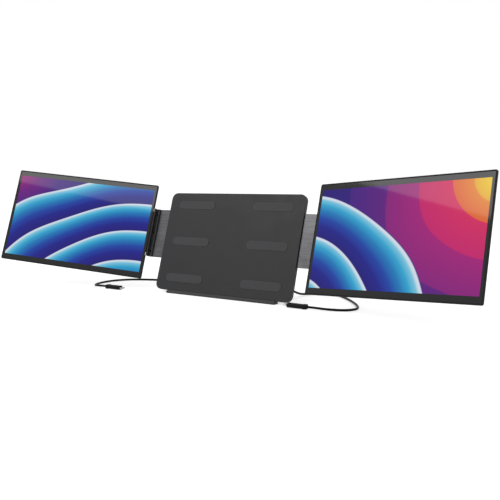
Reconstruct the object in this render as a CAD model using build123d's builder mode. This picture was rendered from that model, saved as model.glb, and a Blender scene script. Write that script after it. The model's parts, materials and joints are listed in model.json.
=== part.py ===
from build123d import *

import os
from math import acos, atan2, cos, degrees, hypot, pi, radians, sin, tan

# A screen extender for a laptop: two 13.3 inch displays on telescoping arms that slide out of a
# housing behind the laptop's lid. Lengths in millimetres, angles in degrees, +Z up, the viewer
# at -Y. The origin is on the desk, under the middle of the housing's rubber foot.
# Everything but the foot, the kickstand and the cables is built in the lid's own directions:
# ACROSS to the viewer's right, ALONG up the lid, TOWARDS out of the lid to the viewer.

# ---------------------------------------------------------------- displays
screen_width = 293.8
screen_height = 165.2
side_bezel = 6.4
top_bezel = 10.8
bottom_bezel = 11.7
display_thickness = 8.4
rim_depth = 2.8
rim_width = 2.4
rim_chamfer = 0.3
corner_radius = 3.0
back_slope = 9.0
back_corner_radius = 8.0
cover_wall = 1.4
cover_side_wall = 1.8
bezel_thickness = 0.8
panel_recess = 0.1
panel_thickness = 2.0
backlight_thickness = 2.2
backlight_inset = 9.7
seat_gap = 0.1
fit_gap = 0.3
left_turn = 19.8
right_turn = 13.0

# ---------------------------------------------------------------- hinges
axis_depth = 3.7
edge_offset = 0.5
barrel_radius = 2.0
pin_radius = 1.0
pin_clearance = 0.04
press_clearance = 0.02
hinge_length = 95.0
ear_height = 6.0
washer_thickness = 0.4
washer_gap = 0.1
leaf_setback = 0.8
leaf_thickness = 1.2
leaf_reach = 13.0
notch_depth = 8.6
fold_gap = 0.6
flange_width = 8.4
flange_thickness = 3.0
cushion_thickness = 1.2

# ---------------------------------------------------------------- housing and arms
lid_tilt = 18.5
screen_centre_height = 112.0
housing_width = 296.0
housing_top = 81.2
housing_corner = 12.0
front_plate_thickness = 2.0
cavity_depth = 5.0
rear_wall = 2.0
side_wall = 4.0
pad_proud = 0.6
pad_recess = 0.6
pad_width = 84.0
pad_height = 15.0
pad_margin = 22.0
pad_end_margin = 24.0
housing_edge = 0.6
housing_back_edge = 1.8
housing_screw_inset = 9.0
housing_screw_radius = 1.2
housing_screw_head = 2.3
housing_boss = 3.4
screw_recess = 1.4
screw_bite = 1.0
rail_length = 84.0
rail_width = 2.4
axis_spread = 181.7
arm_thickness = 3.0
arm_inner_end = 84.0
arm_corner = 3.0
arm_window_middle = 108.0
arm_window_length = 32.0
arm_window_width = 18.0
strip_thickness = 0.7
strip_length = 44.0
strip_width = 6.0
strip_end_gap = 2.0
gear_module = 1.0
pinion_teeth = 14
tooth_height = 0.8
pressure_angle = 20.0
mesh_reach = 6.0
rack_root = 10.0
root_gap = 0.25
backlash = 0.12
rack_back = 14.0
travel_in = 25.0
travel_out = 20.0
rack_overrun = 7.0
axle_radius = 2.2
axle_seat = 1.0
axle_boss = 5.0
foot_thickness = 3.2
foot_depth = 15.0
foot_length = 236.0
foot_edge = 1.0

# ---------------------------------------------------------------- kickstand
kick_hinge_along = 30.0
kick_width = 170.0
kick_thickness = 3.0
kick_barrel_radius = 2.5
kick_pin_radius = 1.25
kick_bracket_spread = 60.0
kick_bracket_width = 36.0
kick_bracket_height = 16.0
kick_base_thickness = 1.2
kick_ear_width = 8.0
kick_foot_radius = 2.6
kick_foot_length = 138.0
kick_low_width = 158.0
kick_low_corner = 9.0
kick_corner = 3.0
kick_edge = 0.6
kick_shoulder = 0.7
kick_set_back = 0.6
kick_lift = 2.0
kick_screw_radius = 0.9
kick_screw_head = 1.7
kick_screw_head_height = 0.2

# ---------------------------------------------------------------- buttons
button_spread = 24.0
button_length = 12.0
rocker_length = 18.0
button_width = 3.4
button_proud = 0.7
rocker_dish = 60.0
rocker_pivot_radius = 0.5
rocker_pivot_depth = 0.6
button_along = -52.0
button_depth = 5.9
button_flange = 0.8

# ---------------------------------------------------------------- cables
cable_diameter = 4.0
port_inset = 33.0
port_rise = 28.84
left_plug_reach = 255.0
left_plug_forward = 26.0
right_plug_reach = 186.0
right_plug_forward = 12.0
plug_width = 12.2
plug_height = 7.2
device_plug_length = 22.0
laptop_plug_length = 29.0
collar_length = 7.0
relief_length = 9.0
tongue_width = 8.25
tongue_height = 2.4
tongue_length = 6.4
tongue_wall = 0.4
tongue_end_gap = 1.0
plug_corner = 2.6
plug_step = 0.8
relief_wall = 0.5
laptop_relief_length = 2.5
port_clearance = 0.08
port_shell_wall = 0.3
port_depth = 5.6
port_board_thickness = 1.2
port_board_width = 26.0
port_board_height = 14.0
shell_inset = 0.4

PIECES = "parts"
os.makedirs("parts", exist_ok=True)

# ---------------------------------------------------------------- levels, measured TOWARDS the viewer
display_width = screen_width + 2 * side_bezel
display_height = screen_height + top_bezel + bottom_bezel
screen_shift = (bottom_bezel - top_bezel) / 2
LEFT_FRONT = 0.0
LEFT_AXIS = LEFT_FRONT - axis_depth
FOLDED_LEFT_TOP = 2 * LEFT_AXIS - LEFT_FRONT + display_thickness
RIGHT_FRONT = FOLDED_LEFT_TOP + fold_gap + 2 * axis_depth
RIGHT_AXIS = RIGHT_FRONT - axis_depth
PAD_FACE = 2 * LEFT_AXIS - LEFT_FRONT - fold_gap
PLATE_FRONT = PAD_FACE - pad_proud
PLATE_BACK = PLATE_FRONT - front_plate_thickness
ARM_FRONT = PLATE_BACK - strip_thickness - fit_gap
ARM_BACK = ARM_FRONT - arm_thickness
CAVITY_BACK = PLATE_BACK - cavity_depth
HOUSING_BACK = CAVITY_BACK - rear_wall
AXIS_LEVEL = {-1: LEFT_AXIS, 1: RIGHT_AXIS}
TURN = {-1: left_turn, 1: right_turn}
WORD = {-1: "left", 1: "right"}

# ---------------------------------------------------------------- directions and planes
SIN_TILT, COS_TILT = sin(radians(lid_tilt)), cos(radians(lid_tilt))
ACROSS = Vector(1, 0, 0)
ALONG = Vector(0, SIN_TILT, COS_TILT)
TOWARDS = Vector(0, -COS_TILT, SIN_TILT)
HINGE_ALONG = -screen_shift
housing_bottom = (foot_thickness - screen_centre_height - HOUSING_BACK * SIN_TILT) / COS_TILT
port_across = housing_width / 2 - port_inset
port_along = housing_bottom + port_rise
housing_middle = (PLATE_FRONT + HOUSING_BACK) / 2
screen_centre_y = housing_middle * COS_TILT - housing_bottom * SIN_TILT
SCREEN_CENTRE = Vector(0, screen_centre_y, screen_centre_height)


def lid_point(across, along, towards):
    """A point in the lid's directions, from the middle of the screens."""
    return SCREEN_CENTRE + ACROSS * across + ALONG * along + TOWARDS * towards


def lid_plane(level):
    """The plane across the lid at a level, its origin at the hinges' mid-height."""
    return Plane(origin=lid_point(0, HINGE_ALONG, level), x_dir=ACROSS, z_dir=TOWARDS)


def housing_plane(level):
    """As lid_plane, with its origin at the screens' mid-height."""
    return Plane(origin=lid_point(0, 0, level), x_dir=ACROSS, z_dir=TOWARDS)


def display_directions(side):
    turn = radians(TURN[side])
    along_face = ACROSS * cos(turn) + TOWARDS * (side * sin(turn))
    out_of_face = TOWARDS * cos(turn) - ACROSS * (side * sin(turn))
    return along_face, out_of_face


def display_plane(side, depth):
    """The plane of a display at a depth behind its front face, its origin beside the hinge axis."""
    along_face, out_of_face = display_directions(side)
    axis = lid_point(side * axis_spread, HINGE_ALONG, AXIS_LEVEL[side])
    return Plane(origin=axis + out_of_face * (axis_depth - depth), x_dir=along_face, z_dir=out_of_face)


def hinge_section(side, height, x_dir):
    """The plane square to a hinge axis at a height above its middle. Its y runs backwards."""
    axis = lid_point(side * axis_spread, HINGE_ALONG + height, AXIS_LEVEL[side])
    return Plane(origin=axis, x_dir=x_dir, z_dir=ALONG)


def panel_centre(side):
    return (side * (edge_offset + display_width / 2), 0)


def screen_centre(side):
    return (side * (edge_offset + display_width / 2), screen_shift)


def write(piece, name):
    piece.label = name
    export_step(piece, f"{PIECES}/{name}.step")


# ---------------------------------------------------------------- display pieces
leaf_front = axis_depth + leaf_setback
leaf_back = leaf_front + leaf_thickness
cavity_floor = display_thickness - cover_wall
ear_inner = hinge_length / 2 - ear_height
barrel_half = ear_inner - washer_thickness - 2 * washer_gap
boss_inset = 12.6
boss_radius = 2.4
boss_pilot = 0.85
screw_radius = 0.8
screw_head_radius = 1.8
screw_head_height = 0.9
cover_screw_length = 3.2


def boss_points(side):
    """Where the rear cover is screwed to the frame: the corners and the middles of the long sides."""
    half_x = display_width / 2 - boss_inset
    half_y = display_height / 2 - boss_inset
    middle = panel_centre(side)[0]
    return [(middle + x, y) for x in (-half_x, 0, half_x) for y in (-half_y, half_y)]


def leaf_screw_points(side):
    across = side * (edge_offset + rim_width + 3.0)
    return [(across, barrel_half * share) for share in (-0.75, -0.25, 0.25, 0.75)]


def hinge_strip(side, inner, outer, half_height):
    """Centre and size of a strip along the hinge, inner and outer measured from the display's edge."""
    middle = side * (edge_offset + (inner + outer) / 2)
    return (middle, 0), outer - inner, 2 * half_height


def make_frame(side):
    """The moulded rim: a pocket for the bezel, a ledge under the panel, bosses and the hinge seat."""
    with BuildPart() as frame:
        with BuildSketch(display_plane(side, 0)):
            with Locations(panel_centre(side)):
                RectangleRounded(display_width, display_height, corner_radius)
        extrude(amount=-rim_depth)
        outwards = Axis(frame.part.center(), display_plane(side, 0).z_dir)
        chamfer(frame.faces().sort_by(outwards)[-1].edges(), rim_chamfer)
        with BuildSketch(display_plane(side, 0)):
            with Locations(panel_centre(side)):
                Rectangle(display_width - 2 * rim_width, display_height - 2 * rim_width)
        extrude(amount=-bezel_thickness, mode=Mode.SUBTRACT)
        with BuildSketch(display_plane(side, 0)):
            with Locations(screen_centre(side)):
                Rectangle(screen_width + 2 * seat_gap, screen_height + 2 * seat_gap)
        extrude(amount=-(panel_recess + panel_thickness), mode=Mode.SUBTRACT)
        with BuildSketch(display_plane(side, 0)):
            with Locations(screen_centre(side)):
                Rectangle(screen_width - 2 * backlight_inset, screen_height - 2 * backlight_inset)
        extrude(amount=-rim_depth, mode=Mode.SUBTRACT)
        centre, width, height = hinge_strip(side, rim_width, leaf_reach, barrel_half)
        with BuildSketch(display_plane(side, leaf_front)):
            with Locations(centre):
                Rectangle(width, height)
        extrude(amount=leaf_front - (panel_recess + panel_thickness))
        with BuildSketch(display_plane(side, cavity_floor)):
            with Locations(*boss_points(side)):
                Circle(boss_radius)
        extrude(amount=cavity_floor - (panel_recess + panel_thickness))
        with BuildSketch(display_plane(side, cavity_floor)):
            with Locations(*boss_points(side)):
                Circle(boss_pilot)
        extrude(amount=cavity_floor - rim_depth, mode=Mode.SUBTRACT)
        with BuildSketch(display_plane(side, leaf_front)):
            with Locations(*leaf_screw_points(side)):
                Circle(boss_pilot)
        extrude(amount=leaf_front - rim_depth, mode=Mode.SUBTRACT)
        with BuildSketch(hinge_section(side, -ear_inner + fit_gap, display_directions(side)[0])):
            Circle(barrel_radius + seat_gap / 2)
        extrude(amount=2 * (ear_inner - fit_gap), mode=Mode.SUBTRACT)
        slot = 2 * (barrel_radius - edge_offset + fit_gap)
        with BuildSketch(display_plane(side, 0)):
            with Locations(*[(side * edge_offset, end * (ear_inner + ear_height / 2)) for end in (-1, 1)]):
                Rectangle(slot, ear_height + 2 * fit_gap)
        extrude(amount=-rim_depth, mode=Mode.SUBTRACT)
    write(frame.part, f"{WORD[side]}_display_frame")


def make_bezel(side):
    margin = 2 * (rim_width + seat_gap)
    with BuildPart() as bezel:
        with BuildSketch(display_plane(side, bezel_thickness)):
            with Locations(panel_centre(side)):
                Rectangle(display_width - margin, display_height - margin)
            with Locations(screen_centre(side)):
                Rectangle(screen_width, screen_height, mode=Mode.SUBTRACT)
        extrude(amount=bezel_thickness)
    write(bezel.part, f"{WORD[side]}_bezel")


def make_panel(side):
    """The liquid crystal panel, whose front face fills the opening in the bezel."""
    with BuildPart() as panel:
        with BuildSketch(display_plane(side, panel_recess + panel_thickness)):
            with Locations(screen_centre(side)):
                Rectangle(screen_width, screen_height)
        extrude(amount=panel_thickness)
    write(panel.part, f"{WORD[side]}_lcd_panel")


def make_backlight(side):
    """The light guide in its folded steel tray, which closes the frame's opening from behind."""
    inset = backlight_inset + seat_gap
    with BuildPart() as backlight:
        with BuildSketch(display_plane(side, panel_recess + panel_thickness)):
            with Locations(screen_centre(side)):
                Rectangle(screen_width - 2 * inset, screen_height - 2 * inset)
        extrude(amount=-backlight_thickness)
    write(backlight.part, f"{WORD[side]}_backlight")


board_width = 118.0
board_height = 38.0
board_thickness = 1.2
board_standoff = 1.0
board_post_inset = 5.0
board_post_radius = 2.0
board_edge = 9.6
chip_height = 0.8
chip_size = 12.0
connector_size = 9.0
switch_reach = 1.6
switch_width = 6.0


def board_centre(side):
    """The board's outer edge, with the two switches, lies just inside the buttons."""
    return (side * (edge_offset + display_width - board_edge - board_width / 2), button_along)


def board_posts(side):
    centre = board_centre(side)
    half_x, half_y = board_width / 2 - board_post_inset, board_height / 2 - board_post_inset
    return [(centre[0] + x, centre[1] + y) for x in (-half_x, half_x) for y in (-half_y, half_y)]


def make_board(side):
    """The driver board on four posts of the rear cover, with its larger chips."""
    board_back = cavity_floor - board_standoff
    with BuildPart() as board:
        with BuildSketch(display_plane(side, board_back)):
            with Locations(board_centre(side)):
                Rectangle(board_width, board_height)
        extrude(amount=board_thickness)
        with BuildSketch(display_plane(side, board_back)):
            centre = board_centre(side)
            with Locations((centre[0] - 2 * chip_size, centre[1]), (centre[0] + chip_size, centre[1])):
                Rectangle(chip_size, chip_size)
            with Locations((centre[0] + 3 * chip_size, centre[1])):
                Rectangle(connector_size * 0.6, connector_size)
        extrude(amount=-chip_height)
        with BuildSketch(display_plane(side, board_back)):
            edge = centre[0] + side * (board_width + switch_reach) / 2
            with Locations((edge, centre[1] - button_spread / 2), (edge, centre[1] + button_spread / 2)):
                Rectangle(switch_reach, switch_width)
        extrude(amount=board_thickness)
    write(board.part, f"{WORD[side]}_driver_board")


def slope_inset(depth):
    """How far the sloping back has come in from the display's outline at a depth."""
    return back_slope * (depth - rim_depth) / (display_thickness - rim_depth)


def button_plane(side, height):
    """A plane on the outer slope of the rear cover, square to it, its x along the hinge."""
    along_face, out_of_face = display_directions(side)
    reach = edge_offset + display_width - slope_inset(button_depth)
    base = display_plane(side, button_depth).origin
    origin = base + along_face * (side * reach) + ALONG * height
    normal = along_face * (side * slope_rise) - out_of_face * back_slope
    return Plane(origin=origin, x_dir=ALONG, z_dir=normal)


slope_rise = display_thickness - rim_depth
slope_wall = cover_side_wall * slope_rise / hypot(slope_rise, back_slope)
BUTTONS = {"power_button": (button_along + button_spread / 2, button_length)}
BUTTONS["menu_rocker"] = (button_along - button_spread / 2, rocker_length)


def make_rear_cover(side):
    """The rear shell: a thin edge, a slope all round and a flat back, notched at the hinge."""
    notch_half = hinge_length / 2 + fit_gap
    with BuildPart() as block:
        centre, width, height = hinge_strip(side, 0, notch_depth + cover_wall, notch_half + cover_wall)
        with BuildSketch(display_plane(side, rim_depth)):
            with Locations(centre):
                Rectangle(width, height)
        extrude(amount=-(display_thickness - rim_depth))
    with BuildPart() as cavity:
        mouth = 2 * cover_side_wall
        floor = 2 * (slope_inset(cavity_floor) + cover_side_wall)
        with BuildSketch(display_plane(side, rim_depth)):
            with Locations(panel_centre(side)):
                RectangleRounded(display_width - mouth, display_height - mouth, corner_radius / 2)
        with BuildSketch(display_plane(side, cavity_floor)):
            with Locations(panel_centre(side)):
                width, height = display_width - floor, display_height - floor
                RectangleRounded(width, height, back_corner_radius - cover_wall)
        loft()
        with BuildSketch(display_plane(side, cavity_floor)):
            with Locations(*board_posts(side)):
                Circle(board_post_radius)
        extrude(amount=board_standoff, mode=Mode.SUBTRACT)
        add(block.part, mode=Mode.SUBTRACT)
    with BuildPart() as cover:
        slope = 2 * back_slope
        with BuildSketch(display_plane(side, rim_depth)):
            with Locations(panel_centre(side)):
                RectangleRounded(display_width, display_height, corner_radius)
        with BuildSketch(display_plane(side, display_thickness)):
            with Locations(panel_centre(side)):
                RectangleRounded(display_width - slope, display_height - slope, back_corner_radius)
        loft()
        add(cavity.part, mode=Mode.SUBTRACT)
        centre, width, height = hinge_strip(side, -1, notch_depth, notch_half)
        with BuildSketch(display_plane(side, rim_depth)):
            with Locations(centre):
                Rectangle(width, height)
        extrude(amount=-display_thickness, mode=Mode.SUBTRACT)
        centre, width, height = hinge_strip(side, 0, leaf_reach + fit_gap, barrel_half + fit_gap)
        with BuildSketch(display_plane(side, rim_depth)):
            with Locations(centre):
                Rectangle(width, height)
        extrude(amount=-(leaf_back + seat_gap - rim_depth), mode=Mode.SUBTRACT)
        with BuildSketch(display_plane(side, display_thickness)):
            with Locations(*boss_points(side)):
                Circle(screw_head_radius + seat_gap)
        extrude(amount=screw_head_height, mode=Mode.SUBTRACT)
        with BuildSketch(display_plane(side, display_thickness)):
            with Locations(*boss_points(side)):
                Circle(screw_radius + seat_gap)
        extrude(amount=cover_wall, mode=Mode.SUBTRACT)
        for height, length in BUTTONS.values():
            with BuildSketch(button_plane(side, height)):
                SlotOverall(length + 2 * fit_gap, button_width + 2 * fit_gap)
            extrude(amount=-2 * slope_wall, mode=Mode.SUBTRACT)
    write(cover.part, f"{WORD[side]}_rear_cover")


def make_buttons(side):
    """The power button, which travels straight in, and the menu rocker, which tips either way."""
    height, length = BUTTONS["power_button"]
    plane = button_plane(side, height)
    flange_top = slope_wall + seat_gap
    with BuildPart() as power:
        with BuildSketch(plane.offset(-flange_top)):
            SlotOverall(length, button_width)
        extrude(amount=flange_top + button_proud)
        with BuildSketch(plane.offset(-flange_top)):
            SlotOverall(length + 2 * button_flange + 2 * fit_gap, button_width)
        extrude(amount=-button_flange)
    write(power.part, f"{WORD[side]}_power_button")
    height, length = BUTTONS["menu_rocker"]
    plane = button_plane(side, height)
    pivot = plane.origin - plane.z_dir * rocker_pivot_depth
    with BuildPart() as rocker:
        with BuildSketch(plane.offset(-flange_top - button_flange)):
            SlotOverall(length, button_width)
        extrude(amount=flange_top + button_flange + button_proud)
        with BuildSketch(Plane(origin=pivot, x_dir=plane.x_dir, z_dir=plane.y_dir)):
            Circle(rocker_pivot_radius)
        extrude(amount=button_width / 2 + 2 * seat_gap, both=True)
        hollow = plane.origin + plane.z_dir * (rocker_dish + button_proud * 0.6)
        across = Plane(origin=hollow - plane.y_dir * button_width, x_dir=plane.x_dir, z_dir=plane.y_dir)
        with BuildSketch(across):
            Circle(rocker_dish)
        extrude(amount=2 * button_width, mode=Mode.SUBTRACT)
    write(rocker.part, f"{WORD[side]}_menu_rocker")


def make_cover_screws(side):
    with BuildPart() as screws:
        with BuildSketch(display_plane(side, display_thickness - seat_gap)):
            with Locations(*boss_points(side)):
                Circle(screw_head_radius)
        extrude(amount=screw_head_height - seat_gap)
        with BuildSketch(display_plane(side, display_thickness - screw_head_height)):
            with Locations(*boss_points(side)):
                Circle(screw_radius)
        extrude(amount=cover_screw_length)
    write(screws.part, f"{WORD[side]}_cover_screws")


def make_leaf(side):
    """The display's half of the hinge: the long barrel and the leaf screwed to the frame."""
    along_face = display_directions(side)[0]
    with BuildPart() as leaf:
        with BuildSketch(hinge_section(side, -barrel_half, along_face)):
            Circle(barrel_radius)
            with Locations((side * (edge_offset + leaf_reach) / 2, leaf_setback + leaf_thickness / 2)):
                Rectangle(edge_offset + leaf_reach, leaf_thickness)
            Circle(pin_radius + pin_clearance, mode=Mode.SUBTRACT)
        extrude(amount=2 * barrel_half)
        with BuildSketch(display_plane(side, leaf_back)):
            with Locations(*leaf_screw_points(side)):
                Circle(screw_radius + seat_gap)
        extrude(amount=leaf_thickness, mode=Mode.SUBTRACT)
    write(leaf.part, f"{WORD[side]}_hinge_leaf")
    with BuildPart() as screws:
        with BuildSketch(display_plane(side, leaf_back)):
            with Locations(*leaf_screw_points(side)):
                Circle(screw_head_radius)
        extrude(amount=-screw_head_height)
        with BuildSketch(display_plane(side, leaf_back)):
            with Locations(*leaf_screw_points(side)):
                Circle(screw_radius)
        extrude(amount=leaf_back - rim_depth - 2 * seat_gap)
    write(screws.part, f"{WORD[side]}_leaf_screws")


# ---------------------------------------------------------------- arm pieces
post_screw_heights = (-36.0, 0.0, 36.0)
post_screw_radius = 1.5
post_screw_head = 2.8
post_screw_inset = 5.0
post_head_recess = 1.2


def make_arm(side):
    """The sliding plate and its rack, which reaches past the pinion to the other half."""
    pitch_radius = gear_module * pinion_teeth / 2
    pitch = pi * gear_module
    tip, root = pitch_radius - tooth_height, pitch_radius + tooth_height + root_gap
    half_pitch_line = pitch / 4 - backlash / 2
    lean = tan(radians(pressure_angle))
    half_tip = half_pitch_line - tooth_height * lean
    half_root = half_pitch_line + (tooth_height + root_gap) * lean
    first, last = -int((travel_out + mesh_reach) / pitch), int((travel_in + mesh_reach) / pitch)
    rack_end = -(travel_out + rack_overrun)
    rack_start = arm_inner_end + rack_root
    profile = [(rack_start, rack_back), (rack_end, rack_back), (rack_end, root)]
    for tooth in range(first, last + 1):
        middle = tooth * pitch
        profile += [(middle - half_root, root), (middle - half_tip, tip)]
        profile += [(middle + half_tip, tip), (middle + half_root, root)]
    profile += [(rack_start, root)]
    outer = axis_spread + barrel_radius
    with BuildPart() as arm:
        with BuildSketch(lid_plane(ARM_BACK)):
            with Locations((side * (arm_inner_end + outer) / 2, 0)):
                RectangleRounded(outer - arm_inner_end, hinge_length, arm_corner)
            with Locations(*[(side * arm_window_middle, end * hinge_length / 4) for end in (-1, 1)]):
                SlotOverall(arm_window_length, arm_window_width, mode=Mode.SUBTRACT)
            with BuildLine():
                Polyline(*[(side * x, -side * y) for x, y in profile], close=True)
            make_face()
        extrude(amount=arm_thickness)
        with BuildSketch(lid_plane(ARM_FRONT)):
            with Locations(*[(side * (axis_spread - post_screw_inset), y) for y in post_screw_heights]):
                Circle(post_screw_radius)
        extrude(amount=-arm_thickness, mode=Mode.SUBTRACT)
    write(arm.part, f"{WORD[side]}_arm")


def make_post(side):
    """The arm's half of the hinge: a flange on the arm, a riser and an ear at each end."""
    axis = AXIS_LEVEL[side]
    riser_top = axis - axis_depth - fold_gap
    outer = axis_spread + barrel_radius
    with BuildPart() as post:
        with BuildSketch(lid_plane(ARM_FRONT)):
            with Locations((side * (outer - (flange_width + barrel_radius) / 2), 0)):
                Rectangle(flange_width + barrel_radius, hinge_length)
        extrude(amount=flange_thickness)
        with BuildSketch(lid_plane(ARM_FRONT)):
            with Locations((side * axis_spread, 0)):
                Rectangle(2 * barrel_radius, hinge_length)
        extrude(amount=riser_top - ARM_FRONT)
        for height in (-hinge_length / 2, ear_inner):
            with BuildSketch(hinge_section(side, height, ACROSS)):
                Circle(barrel_radius)
                with Locations((0, (axis - ARM_FRONT) / 2)):
                    Rectangle(2 * barrel_radius, axis - ARM_FRONT)
                Circle(pin_radius + press_clearance, mode=Mode.SUBTRACT)
            extrude(amount=ear_height)
        top = lid_plane(ARM_FRONT + flange_thickness)
        points = [(side * (axis_spread - post_screw_inset), y) for y in post_screw_heights]
        with BuildSketch(top):
            with Locations(*points):
                Circle(post_screw_radius + seat_gap)
        extrude(amount=-flange_thickness, mode=Mode.SUBTRACT)
        with BuildSketch(top):
            with Locations(*points):
                Circle(post_screw_head + seat_gap)
        extrude(amount=-post_head_recess, mode=Mode.SUBTRACT)
    write(post.part, f"{WORD[side]}_hinge_post")
    with BuildPart() as screws:
        with BuildSketch(top.offset(-post_head_recess)):
            with Locations(*points):
                Circle(post_screw_head)
        extrude(amount=post_head_recess - seat_gap)
        with BuildSketch(top.offset(-post_head_recess)):
            with Locations(*points):
                Circle(post_screw_radius - press_clearance)
        extrude(amount=-(flange_thickness + arm_thickness - post_head_recess - 2 * seat_gap))
    write(screws.part, f"{WORD[side]}_post_screws")


def make_pin(side):
    with BuildPart() as pin:
        with BuildSketch(hinge_section(side, -hinge_length / 2, ACROSS)):
            Circle(pin_radius)
        extrude(amount=hinge_length)
    write(pin.part, f"{WORD[side]}_hinge_pin")
    with BuildPart() as washers:
        for height in (barrel_half + washer_gap, -barrel_half - washer_gap - washer_thickness):
            with BuildSketch(hinge_section(side, height, ACROSS)):
                Circle(barrel_radius - seat_gap)
                Circle(pin_radius + press_clearance, mode=Mode.SUBTRACT)
            extrude(amount=washer_thickness)
    write(washers.part, f"{WORD[side]}_hinge_washers")


def make_cushion():
    """The soft strip on the tall right post, where it passes the edge of the laptop's lid."""
    low = PLATE_FRONT + cushion_thickness
    high = RIGHT_AXIS - axis_depth - fold_gap - cushion_thickness / 2
    with BuildPart() as cushion:
        with BuildSketch(lid_plane(low)):
            with Locations((axis_spread - barrel_radius - cushion_thickness / 2, 0)):
                RectangleRounded(cushion_thickness, hinge_length - 2 * ear_height, cushion_thickness * 0.3)
        extrude(amount=high - low)
    write(cushion.part, "right_post_cushion")


# ---------------------------------------------------------------- housing pieces
housing_height = housing_top - housing_bottom
housing_centre = (0, (housing_top + housing_bottom) / 2)


def housing_screw_points():
    half_x = housing_width / 2 - housing_screw_inset
    low, high = housing_bottom + housing_screw_inset, housing_top - housing_screw_inset
    return [(x, y) for x in (-half_x, 0, half_x) for y in (low, high)]


def pad_points():
    """The lid pads: a pair near the top, a pair near the bottom and a pair half-way."""
    low, high = housing_bottom + pad_end_margin, housing_top - pad_end_margin
    middle = housing_width / 2 - pad_margin - pad_width / 2
    return [(side * middle, y) for side in (-1, 1) for y in (low, (low + high) / 2, high)]


def make_housing_front():
    with BuildPart() as plate:
        with BuildSketch(housing_plane(PLATE_BACK)):
            with Locations(housing_centre):
                RectangleRounded(housing_width, housing_height, housing_corner)
        extrude(amount=front_plate_thickness)
        chamfer(plate.faces().sort_by(Axis(plate.part.center(), TOWARDS))[-1].edges(), housing_edge)
        with BuildSketch(housing_plane(PLATE_FRONT)):
            with Locations(*pad_points()):
                SlotOverall(pad_width + 2 * seat_gap, pad_height + 2 * seat_gap)
        extrude(amount=-pad_recess, mode=Mode.SUBTRACT)
        with BuildSketch(housing_plane(PLATE_BACK)):
            with Locations(*housing_screw_points()):
                Circle(housing_screw_radius)
        extrude(amount=screw_bite + 2 * seat_gap, mode=Mode.SUBTRACT)
        with BuildSketch(lid_plane(PLATE_BACK)):
            Circle(axle_radius + press_clearance)
        extrude(amount=axle_seat, mode=Mode.SUBTRACT)
    write(plate.part, "housing_front")
    with BuildPart() as pads:
        with BuildSketch(housing_plane(PLATE_FRONT - pad_recess)):
            with Locations(*pad_points()):
                SlotOverall(pad_width, pad_height)
        extrude(amount=pad_recess + pad_proud)
    write(pads.part, "lid_pads")


def port_plane(side, level):
    return Plane(origin=lid_point(side * port_across, port_along, level), x_dir=ACROSS, z_dir=TOWARDS)


def make_housing_back():
    """The deep rear half: rails that guide the arms, bosses, and openings for arms and ports."""
    half_arm = hinge_length / 2
    inner_width = housing_width - 2 * side_wall
    rail_middle = (inner_width - rail_length) / 2
    with BuildPart() as shell:
        with BuildSketch(housing_plane(HOUSING_BACK)):
            with Locations(housing_centre):
                RectangleRounded(housing_width, housing_height, housing_corner)
        extrude(amount=PLATE_BACK - HOUSING_BACK)
        chamfer(shell.faces().sort_by(Axis(shell.part.center(), TOWARDS))[0].edges(), housing_back_edge)
        with BuildSketch(housing_plane(PLATE_BACK)):
            with Locations(housing_centre):
                RectangleRounded(inner_width, housing_height - 2 * side_wall, housing_corner - side_wall)
        extrude(amount=-cavity_depth, mode=Mode.SUBTRACT)
        with BuildSketch(housing_plane(CAVITY_BACK)):
            with Locations(*housing_screw_points()):
                Circle(housing_boss)
        extrude(amount=cavity_depth)
        with BuildSketch(lid_plane(CAVITY_BACK)):
            for side in (-1, 1):
                for end in (-1, 1):
                    with Locations((side * rail_middle, end * (half_arm + fit_gap + rail_width / 2))):
                        Rectangle(rail_length, rail_width)
        extrude(amount=cavity_depth)
        with BuildSketch(lid_plane(CAVITY_BACK)):
            Circle(axle_boss)
        extrude(amount=ARM_BACK - CAVITY_BACK - seat_gap)
        with BuildSketch(lid_plane(ARM_BACK)):
            Circle(axle_radius + press_clearance)
        extrude(amount=-(ARM_BACK - CAVITY_BACK + axle_seat), mode=Mode.SUBTRACT)
        with BuildSketch(lid_plane(ARM_BACK - fit_gap)):
            with Locations(*[(end * (housing_width - side_wall) / 2, 0) for end in (-1, 1)]):
                Rectangle(2 * side_wall, 2 * (half_arm + fit_gap))
        extrude(amount=PLATE_BACK - ARM_BACK + fit_gap, mode=Mode.SUBTRACT)
        with BuildSketch(housing_plane(HOUSING_BACK)):
            with Locations(*housing_screw_points()):
                Circle(housing_screw_radius + seat_gap)
        extrude(amount=cavity_depth + rear_wall, mode=Mode.SUBTRACT)
        with BuildSketch(housing_plane(HOUSING_BACK)):
            with Locations(*housing_screw_points()):
                Circle(housing_screw_head + seat_gap)
        extrude(amount=screw_recess, mode=Mode.SUBTRACT)
        with BuildSketch(housing_plane(HOUSING_BACK)):
            with Locations(*[(side * port_across, port_along) for side in (-1, 1)]):
                SlotOverall(shell_width + 2 * seat_gap, shell_height + 2 * seat_gap)
            with Locations(*kick_screw_points()):
                Circle(kick_screw_radius)
        extrude(amount=rear_wall, mode=Mode.SUBTRACT)
    write(shell.part, "housing_back")


def make_housing_screws():
    with BuildPart() as screws:
        with BuildSketch(housing_plane(HOUSING_BACK + 2 * seat_gap)):
            with Locations(*housing_screw_points()):
                Circle(housing_screw_head)
        extrude(amount=screw_recess - 2 * seat_gap)
        with BuildSketch(housing_plane(HOUSING_BACK + screw_recess)):
            with Locations(*housing_screw_points()):
                Circle(housing_screw_radius - press_clearance)
        extrude(amount=PLATE_BACK + screw_bite - HOUSING_BACK - screw_recess)
    write(screws.part, "housing_screws")


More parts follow.
